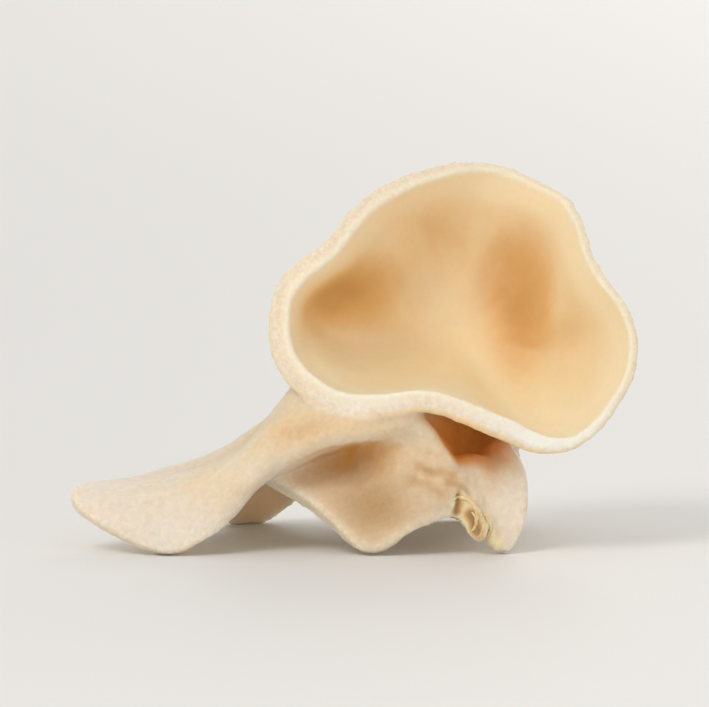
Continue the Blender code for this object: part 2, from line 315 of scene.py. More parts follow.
# the painted glow's light: colour and strength of the emission round the deepest hollows, where
# there is no lamp
PAINTED_GLOW_LIGHT = (0.9, 0.31, 0.01, 1.0)
PAINTED_GLOW_STRENGTH = 0.15
SCATTER = (1.0, 0.5, 0.2)

# The soft lights: name, place from the ear's middle and width in m, power in W, and colour.
LIGHTS = (
    ("key", (-0.28, -0.34, 0.42), 0.3, 1.3, (1.0, 0.96, 0.9)),
    ("fill", (0.3, -0.5, 0.06), 0.4, 0.55, (1.0, 0.97, 0.93)),
    ("back", (0.2, 0.5, 0.22), 0.4, 0.8, (1.0, 0.96, 0.9)),
)
SKY_COLOUR = (1.0, 0.98, 0.95, 1.0)
SKY_STRENGTH = 0.62
FLOOR_HALF = 3.0
SENSOR = 36.0


def length_setting(name, description, default, low, high):
    """A length's setting, its default and limits in mm."""
    return FloatProperty(
        name=name,
        description=description,
        default=default * MM,
        min=low * MM,
        max=high * MM,
        unit="LENGTH",
    )


def colour_setting(name, description, default):
    return FloatVectorProperty(name=name, description=description, subtype="COLOR", default=default)


class FleshSettings(bpy.types.PropertyGroup):
    """Sizes and colours of the mushroom's flesh."""

    thickness: length_setting(
        "Flesh thickness", "Thickness of the dried flesh away from the lips", 1.15, 0.4, 3.0
    )
    detail: length_setting("Skin detail", "Spacing of the skin's points", 0.21, 0.15, 0.6)
    waviness: length_setting(
        "Waviness", "How far the dried sheets wander from a smooth curve", 0.28, 0.0, 1.0
    )
    lip_colour: colour_setting("Lip", "Colour of the pale lip", (0.79, 0.67, 0.5))
    butter_colour: colour_setting(
        "Butter", "Colour inside the cup, next to the lip", (0.89, 0.76, 0.51)
    )
    # the ochre and amber are reached where the inside is warmer in tone and where shade is painted
    # into the hollows
    ochre_colour: colour_setting("Ochre", "Colour of the cup's floor", (0.76, 0.49, 0.21))
    amber_colour: colour_setting("Amber", "Colour of the deepest hollows", (0.58, 0.3, 0.08))
    # painted glow and shade: the deep orange laid round the deepest hollows, standing in for light
    # coming through the thin flesh and for the hollow's shade
    painted_glow_colour: colour_setting(
        "Glow", "Colour of thin flesh that light comes through", (0.56, 0.22, 0.02)
    )
    outer_colour: colour_setting(
        "Outer face", "Colour of the velvety outer face", (0.82, 0.74, 0.64)
    )
    stub_colour: colour_setting("Stub", "Colour of the torn stub", (0.66, 0.4, 0.16))


class DownSettings(bpy.types.PropertyGroup):
    """The short down of the outer face."""

    length: length_setting("Hair length", "Length of the longest hairs", 0.13, 0.05, 1.0)
    width: length_setting("Hair width", "Width of a hair at its root", 0.034, 0.01, 0.2)
    count: IntProperty(
        name="Hairs on each part",
        description="The most hairs the cup's back and the skirt each carry",
        default=44000,
        min=100,
        max=49000,
    )
    seed: IntProperty(name="Seed", description="Picks the hairs' places", default=7, min=0)


class StageSettings(bpy.types.PropertyGroup):
    """Camera, light and floor."""

    distance: FloatProperty(
        name="Camera distance",
        description="From the camera to the middle of the ear",
        default=1.0,
        min=0.2,
        unit="LENGTH",
    )
    elevation: FloatProperty(
        name="Camera elevation",
        description="How far the camera looks down",
        default=math.radians(6.5),
        subtype="ANGLE",
    )
    view_width: FloatProperty(
        name="View width",
        description="Width of what the camera sees at the ear",
        default=49.0 * MM,
        min=5.0 * MM,
        unit="LENGTH",
    )
    floor_colour: colour_setting("Floor", "Colour of the floor", (0.82, 0.82, 0.82))


def spline_weights(knots, where, closed):
    """The matrix that takes values at evenly spaced knots to a smooth curve through them."""
    spans = knots if closed else knots - 1
    second = np.zeros((knots, knots))
    change = np.zeros((knots, knots))
    for i in range(knots):
        second[i, i] = 4.0
        before, after = (i - 1) % knots, (i + 1) % knots
        if not closed and i in (0, knots - 1):
            second[i, i] = 1.0
            continue
        second[i, before] = second[i, after] = 1.0
        change[i, before] = change[i, after] = 6.0
        change[i, i] = -12.0
    bend = np.linalg.solve(second, change)
    weights = np.zeros((len(where), knots))
    for row, share in enumerate(where):
        position = share * spans
        span = min(int(position), spans - 1)
        b = position - span
        a = 1.0 - b
        after = (span + 1) % knots
        weights[row, span] += a
        weights[row, after] += b
        weights[row] += (a**3 - a) / 6.0 * bend[span] + (b**3 - b) / 6.0 * bend[after]
    return weights


def cup_surface():
    """Points of the cup's sheet in mm, as rings by segments, and its lip's thickness."""
    turns = np.arange(SEGMENTS) / SEGMENTS
    lip = spline_weights(len(CUP_LIP), turns, True) @ np.array(CUP_LIP)
    base = np.array(CUP_BASE)
    axis = np.array(CUP_AXIS) / np.linalg.norm(CUP_AXIS)
    reach = lip[:, :3] - base
    height = reach @ axis
    across = reach - height[:, None] * axis
    share = np.linspace(0.0, 1.0, RINGS + 1)[:, None]
    rise = height * share ** lip[:, 3]
    points = base + across * share[..., None] + axis * rise[..., None]
    for x, z, radius, depth in CUP_HOLLOWS:
        away = (points[..., 0] - x) ** 2 + (points[..., 2] - z) ** 2
        push = depth * np.exp(-away / radius**2) * (1.0 - share**4)
        points = points - axis * push[..., None]
    outward = across / np.linalg.norm(across, axis=1, keepdims=True)
    for turn, width, bulge in CUP_FOLDS:
        away = (turns - turn + 0.5) % 1.0 - 0.5
        push = bulge * np.exp(-((away / width) ** 2)) * np.sin(math.pi * share**1.5) ** 2
        points = points + outward * push[..., None]
    return points, lip[:, 4]


def below_cup(cup, x, y):
    """The point of the cup's underside nearest above x and y."""
    points = cup.reshape(-1, 3)
    away = np.hypot(points[:, 0] - x, points[:, 1] - y) + UNDERSIDE_BIAS * points[:, 2]
    return points[np.argmin(away)]


def skirt_surface(cup):
    """Points of the skirt's sheet in mm, as rings by segments, and its hem's thickness."""
    cage = np.array([[below_cup(cup, *row[0]), *row[1:4]] for row in SKIRT])
    hem = np.array([row[4] for row in SKIRT])
    around = spline_weights(len(SKIRT), np.arange(SEGMENTS) / SEGMENTS, True)
    down = spline_weights(4, np.linspace(0.0, 1.0, RINGS + 1), False)
    return np.einsum("sk,rj,kjc->rsc", around, down, cage), around @ hem


def noise_at(points, spacing):
    """Smooth noise from -1 to 1 at points in mm, with features about spacing wide."""
    out = np.zeros(len(points))
    for index, point in enumerate(points / spacing):
        out[index] = noise.fractal(Vector(point), 1.0, 2.0, 1)
    return out


def new_object(name, mesh):
    """A bmesh made an object in the scene."""
    data = bpy.data.meshes.new(name)
    mesh.to_mesh(data)
    mesh.free()
    obj = bpy.data.objects.new(name, data)
    bpy.context.scene.collection.objects.link(obj)
    return obj


def disc(name, inner):
    """A flat disc of rings and segments, spun from one spoke that runs from inner to 1."""
    mesh = bmesh.new()
    radii = np.linspace(inner, 1.0, RINGS + 1)
    spoke = [mesh.verts.new((radius, 0.0, 0.0)) for radius in radii]
    edges = [mesh.edges.new(pair) for pair in zip(spoke, spoke[1:])]
    bmesh.ops.spin(
        mesh,
        geom=spoke + edges,
        cent=(0.0, 0.0, 0.0),
        axis=(0.0, 0.0, 1.0),
        angle=math.tau,
        steps=SEGMENTS,
        use_merge=True,
    )
    bmesh.ops.remove_doubles(mesh, verts=mesh.verts, dist=1e-5)
    return new_object(name, mesh)


def sheet(name, points, rim_thickness, inner, flesh):
    """The disc drawn over a surface, made wavy, and given its thickness, thicker at the rim."""
    obj = disc(name, inner)
    flat = np.array([v.co for v in obj.data.vertices])
    share = (np.hypot(flat[:, 0], flat[:, 1]) - inner) / (1.0 - inner)
    ring = np.rint(share * RINGS).astype(int)
    turn = np.arctan2(flat[:, 1], flat[:, 0]) / math.tau
    segment = np.rint(turn * SEGMENTS).astype(int) % SEGMENTS
    obj.data.vertices.foreach_set("co", (points[ring, segment] * MM).ravel())
    group = obj.vertex_groups.new(name="thickness")
    nearness = np.clip((share - 1.0 + RIM_SHARE) / RIM_SHARE, 0.0, 1.0)
    body = flesh.thickness / MM
    thickness = body + (rim_thickness[segment] - body) * nearness
    for index, part in enumerate(thickness / LIP_THICKNESS):
        group.add([index], part, "REPLACE")
    solidify = obj.modifiers.new("Flesh", "SOLIDIFY")
    solidify.thickness = LIP_THICKNESS * MM
    solidify.offset = 0.0
    solidify.vertex_group = group.name
    return obj


def wander(points, amount):
    """The same grid of points, moved off the smooth curve as drying moves real flesh."""
    flat = points.reshape(-1, 3)
    slow = np.stack([noise_at(flat + offset, 5.5) for offset in (0.0, 40.0, 80.0)], axis=1)
    quick = np.stack([noise_at(flat + offset, 2.2) for offset in (20.0, 60.0, 100.0)], axis=1)
    return (flat + amount * (slow + 0.35 * quick)).reshape(points.shape)


def stub_balls():
    """The stub's balls as one piece."""
    mesh = bmesh.new()
    for x, y, z, radius in STUB:
        place = Matrix.Translation(Vector((x, y, z)) * MM)
        bmesh.ops.create_icosphere(mesh, subdivisions=4, radius=radius * MM, matrix=place)
    return new_object("stub", mesh)


def taken(pieces):
    """The pieces' shapes with their modifiers, in one bmesh; the pieces are removed."""
    mesh = bmesh.new()
    depsgraph = bpy.context.evaluated_depsgraph_get()
    for piece in pieces:
        mesh.from_object(piece, depsgraph)
    for piece in pieces:
        bpy.data.objects.remove(piece)
    return mesh


def fused(pieces, spacing):
    """The pieces drawn over with one closed skin, softened."""
    skin = new_object("skin", taken(pieces))
    remesh = skin.modifiers.new("One skin", "REMESH")
    remesh.mode = "VOXEL"
    remesh.voxel_size = spacing
    soften = skin.modifiers.new("Soften", "SMOOTH")
    soften.factor = 0.5
    soften.iterations = SMOOTH_STEPS
    return taken([skin])


def grid_normals(points):
    """Unit normals of a grid of points, rings by segments."""
    along = np.gradient(points, axis=0)
    around = np.roll(points, -1, axis=1) - np.roll(points, 1, axis=1)
    normal = np.cross(along, around)
    normal[0] = normal[1]
    return normal / np.maximum(np.linalg.norm(normal, axis=2, keepdims=True), 1e-9)


def tree_of(points):
    """A search tree over points in mm."""
    tree = KDTree(len(points))
    for index, point in enumerate(points):
        tree.insert(point, index)
    tree.balance()
    return tree


def nearest(tree, points):
    """For each point, the index of the tree's nearest point and its distance."""
    found = [tree.find(point) for point in points]
    return np.array([f[1] for f in found]), np.array([f[2] for f in found])


def spread(values, edges, count, steps):
    """Values at a mesh's points, averaged with their neighbours a number of times."""
    a, b = edges[:, 0], edges[:, 1]
    near = np.bincount(a, minlength=count) + np.bincount(b, minlength=count)
    for _ in range(steps):
        total = np.bincount(a, values[b], count) + np.bincount(b, values[a], count)
        values = 0.5 * values + 0.5 * total / near
    return values


def occlusion_at(tree, points, normals):
    """How closed in each point is, from 0 in the open to 1 in a deep hollow; the colours use it to
    paint shade.
    """
    golden = math.pi * (3.0 - math.sqrt(5.0))
    rays = []
    for k in range(OCCLUSION_RAYS):
        out = math.sqrt((k + 0.5) / OCCLUSION_RAYS)
        rays.append((out * math.cos(golden * k), out * math.sin(golden * k), math.sqrt(1 - out**2)))
    occlusion = np.zeros(len(points))
    for index, (point, normal) in enumerate(zip(points, normals)):
        n = Vector(normal)
        side = n.orthogonal().normalized()
        other = n.cross(side)
        start = Vector(point) + 0.05 * n
        closed = 0.0
        for a, b, c in rays:
            hit = tree.ray_cast(start, side * a + other * b + n * c, OCCLUSION_REACH)
            if hit[3] is not None:
                closed += 1.0 - 0.6 * hit[3] / OCCLUSION_REACH
        occlusion[index] = closed / OCCLUSION_RAYS
    return occlusion


def tear_turn():
    """The turn that lays the tear's run along the second axis."""
    run = Vector(TEAR[-1]) - Vector(TEAR[0])
    return np.array(run.to_track_quat("Y", "Z").to_matrix())


TEAR_TURN = tear_turn()


class Skin:
    """What the skin's points know: where on the growth they lie."""

    def __init__(self, mesh, cup, lip, skirt, hem):
        self.points = np.array([v.co for v in mesh.verts]) / MM
        self.normals = np.array([v.normal for v in mesh.verts])
        self.edges = np.array([[v.index for v in e.verts] for e in mesh.edges])
        self.count = len(self.points)
        cup_index, cup_away = nearest(tree_of(cup.reshape(-1, 3)), self.points)
        skirt_index, skirt_away = nearest(tree_of(skirt.reshape(-1, 3)), self.points)
        side_cup = self.side(cup, cup_index)
        # the bowl's inside is always the cup's, though the skirt starts just under it
        self.on_cup = (cup_away < skirt_away) | ((side_cup > 0.2) & (cup_away < 0.9))
        side_skirt = self.side(skirt, skirt_index)
        # the cup's inside is its opening side, the skirt's is its underside
        side = np.where(self.on_cup, side_cup, side_skirt)
        self.inner = np.clip(0.5 + side / 0.7, 0.0, 1.0)
        around = np.where(self.on_cup, cup_index, skirt_index) % SEGMENTS
        half = np.where(self.on_cup, lip[around], hem[around]) / 2.0
        ring = np.where(self.on_cup, cup_index // SEGMENTS, skirt_index // SEGMENTS)
        self.share = ring / RINGS
        self.turn = np.where(self.on_cup, cup_index % SEGMENTS, skirt_index % SEGMENTS) / SEGMENTS
        edge = np.concatenate([cup[-1], skirt[-1]])
        self.rim_away = nearest(tree_of(edge), self.points)[1]
        gap = self.rim_away - half
        self.lip = 1.0 - smooth_step(gap, -0.1, 0.45)
        close = 1.0 - smooth_step(gap, -0.05, 0.3)
        # the lip's inner edge, where a highlight is painted
        self.edge = smooth_step(side / half, 0.2, 0.8) * close
        self.back_edge = smooth_step(-side / half, 0.4, 0.8) * close * self.on_cup
        away = line_distance(self.points, TEAR)[0]
        self.torn = 1.0 - smooth_step(away, 0.6, 1.05)

    def side(self, grid, index):
        """How far each point is off the grid's middle surface, along its normal."""
        flat = grid.reshape(-1, 3)[index]
        normal = grid_normals(grid).reshape(-1, 3)[index]
        return np.einsum("ij,ij->i", self.points - flat, normal)

    def move(self, amounts):
        """The points moved along their normals, in mm."""
        self.points = self.points + self.normals * amounts[:, None]


def blobs(points, spots):
    """The warmth that the spots give each point, from 0 to 1."""
    warmth = np.zeros(len(points))
    for middle, reach, share in spots:
        away = (((points - middle) / np.array(reach)) ** 2).sum(axis=1)
        warmth = np.maximum(warmth, share * np.exp(-away))
    return warmth


def smooth_step(values, low, high):
    """0 below low, 1 above high and a smooth rise between."""
    t = np.clip((values - low) / (high - low), 0.0, 1.0)
    return t * t * (3.0 - 2.0 * t)


def line_distance(points, line):
    """For each point, how far it is from a line of points, and the side: + left, - right."""
    best = np.full(len(points), np.inf)
    sign = np.zeros(len(points))
    for start, end in zip(line, line[1:]):
        a, run = np.array(start), np.subtract(end, start)
        along = np.clip((points - a) @ run / (run @ run), 0.0, 1.0)
        off = points - a - along[:, None] * run
        away = np.linalg.norm(off, axis=1)
        nearer = away < best
        best = np.where(nearer, away, best)
        if len(run) == 2:
            sign = np.where(nearer, np.sign(run[0] * off[:, 1] - run[1] * off[:, 0]), sign)
    return best, sign


def fold_height(skin):
    """How far the folds of the skirt's front stand out, in mm; sets where colour is painted on
    them: pale as a painted highlight on the raised side, sunk for painted shade and glow beyond the
    fold.
    """
    front = ~skin.on_cup * (1.0 - smooth_step(skin.points[:, 1], -4.2, -0.8))
    flat = skin.points[:, (0, 2)]
    height = np.zeros(skin.count)
    skin.pale, skin.sunk = np.zeros(skin.count), np.zeros(skin.count)
    for line, stand, sink in FRONT_FOLDS:
        away, sign = line_distance(flat, line)
        raised = stand * np.exp(-((away / 0.75) ** 2))
        sunk = (stand + sink) * np.exp(-((away / 0.3) ** 2)) - sink * np.exp(-((away / 1.3) ** 2))
        ends = np.minimum(np.hypot(*(flat - line[0]).T), np.hypot(*(flat - line[-1]).T))
        ends = smooth_step(ends, 0.1, 0.9) * front * (1.0 - skin.inner)
        on_left = sign >= 0.0
        height += np.where(on_left, raised, sunk) * ends
        pale = np.exp(-((away / 1.1) ** 2))
        deep = smooth_step(away, 0.0, 0.22) * np.exp(-((away / 1.6) ** 2))
        # painted highlight along the raised side; painted shade and glow beyond the fold
        skin.pale = np.maximum(skin.pale, pale * on_left * ends)
        skin.sunk = np.maximum(skin.sunk, deep * ~on_left * ends)
    return height


def crease_depth(skin):
    """How far the creases by the stub press each point in, in mm."""
    front = ~skin.on_cup * (1.0 - smooth_step(skin.points[:, 1], -5.8, -4.4))
    flat = skin.points[:, (0, 2)]
    depth = np.zeros(skin.count)
    for line, width, deep in CREASES:
        away = line_distance(flat, line)[0]
        depth += deep * np.exp(-((away / width) ** 2))
    return depth * front * (1.0 - skin.inner)


def pleats(skin, count, offset):
    """Ridges that run out from where the sheet is held, from 0 in the valleys to 1 on a crest."""
    drift = 0.02 * noise_at(skin.points + offset, 6.0)
    angle = math.tau * (skin.turn + drift)
    where = np.stack([np.cos(angle), np.sin(angle), 0.35 * skin.share], axis=1)
    return 1.0 - np.minimum(1.0, 2.2 * np.abs(noise_at(where * count / 6.0 + offset, 1.0)))


def roughen(skin):
    """Wrinkles, grain, folds and tears moved into the skin; sets what its colours follow."""
    outer = 1.0 - skin.inner
    grain = noise_at(skin.points, 0.75) + 0.6 * noise_at(skin.points + 50.0, 0.45)
    swell = noise_at(skin.points + 90.0, 2.6)
    crepe = 1.0 - np.minimum(1.0, 2.0 * np.abs(noise_at(skin.points + 10.0, 1.7)))
    held = smooth_step(skin.share, 0.1, 0.35) * smooth_step(1.0 - skin.share, 0.0, 0.25)
    bold, fine = pleats(skin, BOLD_PLEATS, 5.0), pleats(skin, FINE_PLEATS, 15.0)
    hidden = np.where(skin.on_cup, 1.0, smooth_step(skin.points[:, 1], -6.0, 2.0) * 0.6 + 0.25)
    wrinkle = (0.6 * bold**2 + 0.4 * fine**2 * smooth_step(skin.share, 0.3, 0.6)) * held * hidden
    skin.streak = 0.5 * (bold + fine) * held
    # the colours paint a highlight on the wrinkles' crests and shade in their valleys
    skin.crest = wrinkle * outer
    skin.valley = (1.0 - smooth_step(0.6 * bold + 0.4 * fine, 0.1, 0.5)) * held * hidden * outer
    laid = skin.points @ TEAR_TURN
    bends = noise_at(laid * np.array([1.0, 0.6, 1.0]) + 30.0, 1.3)
    breaks = noise_at(laid + 70.0, 0.8)
    ragged = 0.5 + 0.5 * np.cos(math.tau * (laid[:, 0] / TEAR_SPACING + 0.55 * bends))
    ragged = np.clip(ragged + 0.45 * breaks, 0.0, 1.0)
    skin.tear = ragged
    height = outer * (GRAIN * grain + SWELL * swell + WRINKLE * wrinkle + CREPE * crepe * hidden)
    height += skin.inner * INNER_SWELL * swell
    skin.white = blobs(skin.points, WHITE_LIP)
    stand = EDGE_STAND + WHITE_EDGE_STAND * skin.white
    height += skin.lip * LIP_GRAIN * grain + skin.edge * stand
    height += skin.torn * (TEAR_DEPTH * (ragged - 0.5) + TEAR_GRAIN * grain)
    height += fold_height(skin)
    skin.crease = crease_depth(skin)
    height -= skin.crease
    skin.move(height)


def put_attribute(data, name, values):
    """A number kept at each of a mesh's points."""
    layer = data.attributes.new(name, "FLOAT", "POINT")
    layer.data.foreach_set("value", values.astype(np.float32))


def placed(points):
    """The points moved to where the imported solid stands, with flat feet on the floor."""
    low, high = points.min(axis=0), points.max(axis=0)
    box_low, box_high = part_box(NODE)
    middle = (np.array(box_low) + np.array(box_high)) / 2.0 / MM
    shift = middle - (low + high) / 2.0
    shift[2] = box_low[2] / MM - low[2] - FOOT_HEIGHT
    points = points + shift
    points[:, 2] = np.maximum(points[:, 2], box_low[2] / MM)
    return points, shift


def node(tree, kind, **values):
    """A new shader node with its properties set."""
    made = tree.nodes.new(kind)
    for key, value in values.items():
        setattr(made, key, value)
    return made


def link(tree, source, target):
    tree.links.new(source, target)


def attribute(tree, name):
    """The number that the piece's mesh keeps under a name."""
    return node(tree, "ShaderNodeAttribute", attribute_name=name).outputs["Fac"]


def remapped(tree, value, low, high, to_low=0.0, to_high=1.0):
    """A value taken smoothly from one range to another."""
    made = node(tree, "ShaderNodeMapRange", interpolation_type="SMOOTHSTEP")
    link(tree, value, made.inputs["Value"])
    made.inputs["From Min"].default_value = low
    made.inputs["From Max"].default_value = high
    made.inputs["To Min"].default_value = to_low
    made.inputs["To Max"].default_value = to_high
    return made.outputs["Result"]


def maths(tree, operation, *values):
    """A Math node's result; each value is a number or a socket."""
    made = node(tree, "ShaderNodeMath", operation=operation)
    for socket, value in zip(made.inputs, values):
        if isinstance(value, (int, float)):
            socket.default_value = value
        else:
            link(tree, value, socket)
    return made.outputs["Value"]


def mottle(tree, size, detail=3.0, rough=0.55):
    """Noise on Object coordinates with features about size wide, in mm."""
    where = node(tree, "ShaderNodeTexCoord")
    made = node(tree, "ShaderNodeTexNoise")
    made.inputs["Scale"].default_value = 1.0 / (size * MM)
    made.inputs["Detail"].default_value = detail
    made.inputs["Roughness"].default_value = rough
    link(tree, where.outputs["Object"], made.inputs["Vector"])
    return made.outputs["Fac"]


def mixed(tree, factor, first, second):
    """The first colour turned into the second by a factor."""
    made = node(tree, "ShaderNodeMix", data_type="RGBA")
    for name, value in (("Factor", factor), ("A", first), ("B", second)):
        kind = "Value" if name == "Factor" else "Color"
        identifier = f"{name}_Float" if kind == "Value" else f"{name}_Color"
        socket = next(s for s in made.inputs if s.identifier == identifier)
        if isinstance(value, bpy.types.NodeSocket):
            link(tree, value, socket)
        elif kind == "Value":
            socket.default_value = value
        else:
            socket.default_value = (*value, 1.0)
    return next(s for s in made.outputs if s.identifier == "Result_Color")


def ramp(tree, value, stops):
    """A colour ramp with a colour at each stop."""
    made = node(tree, "ShaderNodeValToRGB")
    elements = made.color_ramp.elements
    for _ in range(len(stops) - 2):
        elements.new(0.5)
    for element, (position, colour) in zip(elements, stops):
        element.position = position
        element.color = (*colour, 1.0)
    link(tree, value, made.inputs["Fac"])
    return made.outputs["Color"]


def new_material(name):
    """A material, its node tree and its shader."""
    material = bpy.data.materials.new(name)
    material.use_nodes = True
    return material, material.node_tree, material.node_tree.nodes["Principled BSDF"]


def layered(tree, colour, layers):
    """A colour with each layer's own laid over it where the layer's attribute says."""
    for name, share, over in layers:
        factor = maths(tree, "MULTIPLY", attribute(tree, name), share)
        colour = mixed(tree, factor, colour, over)
    return colour


def outer_face(tree, flesh, blotch):
    """The outer face's colour: pinkish white at the hem, butter to tan partly by its own tone and
    partly as painted shade where it is closed in, with the painted crest highlight, painted shade
    and the palest spots laid over.
    """
    warm = maths(tree, "MULTIPLY_ADD", blotch, 0.28, attribute(tree, "tone_and_shade_outside"))
    outside = ramp(tree, warm, ((0.0, flesh.outer_colour), *OUTER_STOPS))
    return layered(tree, outside, OUTER_LAYERS)


def clad(obj, material):
    """Makes the material the object's only one."""
    obj.data.materials.clear()
    obj.data.materials.append(material)


def flesh_material(flesh):
    """Waxy cream flesh: pale lip, butter to amber inside, matt and mottled outside; the colours
    also paint shade in hollows, creases and recesses, highlights on the lip's edge and on folds,
    and a glow round the deepest hollows.
    """
    material, tree, shader = new_material("ear_flesh")
    inner = remapped(tree, attribute(tree, "inner"), 0.3, 0.7)
    blotch = maths(tree, "SUBTRACT", mottle(tree, 3.2), 0.5)
    fine = mottle(tree, 0.45, 4.0, 0.6)

    warm = maths(tree, "MULTIPLY_ADD", blotch, 0.22, attribute(tree, "tone_and_shade_inside"))
    inside = ramp(
        tree,
        warm,
        (
            (0.0, flesh.butter_colour),
            (0.3, STRAW),
            (0.62, flesh.ochre_colour),
            (1.0, flesh.amber_colour),
        ),
    )
    outside = outer_face(tree, flesh, blotch)
    # painted glow and shade: deep orange round the deepest hollows
    outside = mixed(tree, attribute(tree, "painted_glow"), outside, flesh.painted_glow_colour)
    colour = mixed(tree, inner, outside, inside)
    frost = remapped(tree, mottle(tree, 0.3, 3.0, 0.65), 0.4, 0.65)
    lip = mixed(tree, frost, flesh.lip_colour, FROST_COLOUR)
    colour = mixed(tree, attribute(tree, "lip"), colour, lip)
    colour = layered(tree, colour, LIP_LAYERS)
    torn = ramp(
        tree,
        attribute(tree, "tear"),
        (
            (0.1, tuple(0.7 * channel for channel in flesh.stub_colour)),
            (0.4, flesh.stub_colour),
            *TEAR_STOPS,
        ),
    )
    colour = mixed(tree, attribute(tree, "torn"), colour, torn)
    strength = remapped(tree, inner, 0.0, 1.0, 0.3, 0.07)
    speck = maths(tree, "MULTIPLY", maths(tree, "SUBTRACT", fine, 0.5), strength)
    speck = maths(tree, "ADD", speck, 1.0)
    scale = node(tree, "ShaderNodeVectorMath", operation="SCALE")
    link(tree, colour, scale.inputs[0])
    link(tree, speck, scale.inputs["Scale"])
    link(tree, scale.outputs["Vector"], shader.inputs["Base Color"])
    # painted glow: the flesh emits light round the deepest hollows
    shader.inputs["Emission Color"].default_value = PAINTED_GLOW_LIGHT
    painted_glow = maths(tree, "MULTIPLY", attribute(tree, "painted_glow"), PAINTED_GLOW_STRENGTH)
    link(tree, painted_glow, shader.inputs["Emission Strength"])

    rough = remapped(tree, inner, 0.0, 1.0, 0.7, 0.5)
    rough = maths(tree, "MULTIPLY_ADD", maths(tree, "SUBTRACT", fine, 0.5), 0.2, rough)
    link(tree, rough, shader.inputs["Roughness"])
    shader.inputs["Specular IOR Level"].default_value = 0.35
    shader.inputs["Subsurface Weight"].default_value = 0.6
    shader.inputs["Subsurface Radius"].default_value = SCATTER
    shader.inputs["Subsurface Scale"].default_value = 1.6 * MM
    shader.inputs["Sheen Weight"].default_value = 0.1
    shader.inputs["Sheen Roughness"].default_value = 0.5

    bump = node(tree, "ShaderNodeBump")
    bump.inputs["Distance"].default_value = 0.04 * MM
    strength = remapped(tree, inner, 0.0, 1.0, 1.0, 0.04)
    height = maths(tree, "MULTIPLY", mottle(tree, 0.16, 3.0, 0.65), strength)
    link(tree, height, bump.inputs["Height"])
    link(tree, bump.outputs["Normal"], shader.inputs["Normal"])
    return material


def down_material(flesh):
    """Soft hairs, a little paler than the flesh they stand on."""
    material, tree, shader = new_material("ear_down")
    colour = outer_face(tree, flesh, maths(tree, "SUBTRACT", mottle(tree, 3.2), 0.5))
    colour = mixed(tree, 0.3, colour, DOWN_COLOUR)
    link(tree, colour, shader.inputs["Base Color"])
    shader.inputs["Roughness"].default_value = 0.8
    shader.inputs["Specular IOR Level"].default_value = 0.2
    shader.inputs["Sheen Weight"].default_value = 0.3
    return material


def shred_material(flesh):
    """Torn, glassy amber layers."""
    material, tree, shader = new_material("ear_fibres")
    stops = ((0.3, flesh.stub_colour), *LAYER_STOPS)
    colour = ramp(tree, mottle(tree, 0.5, 4.0, 0.7), stops)
    link(tree, colour, shader.inputs["Base Color"])
    shader.inputs["Roughness"].default_value = 0.5
    shader.inputs["Subsurface Weight"].default_value = 0.4
    shader.inputs["Subsurface Radius"].default_value = SCATTER
    shader.inputs["Subsurface Scale"].default_value = 0.4 * MM
    return material


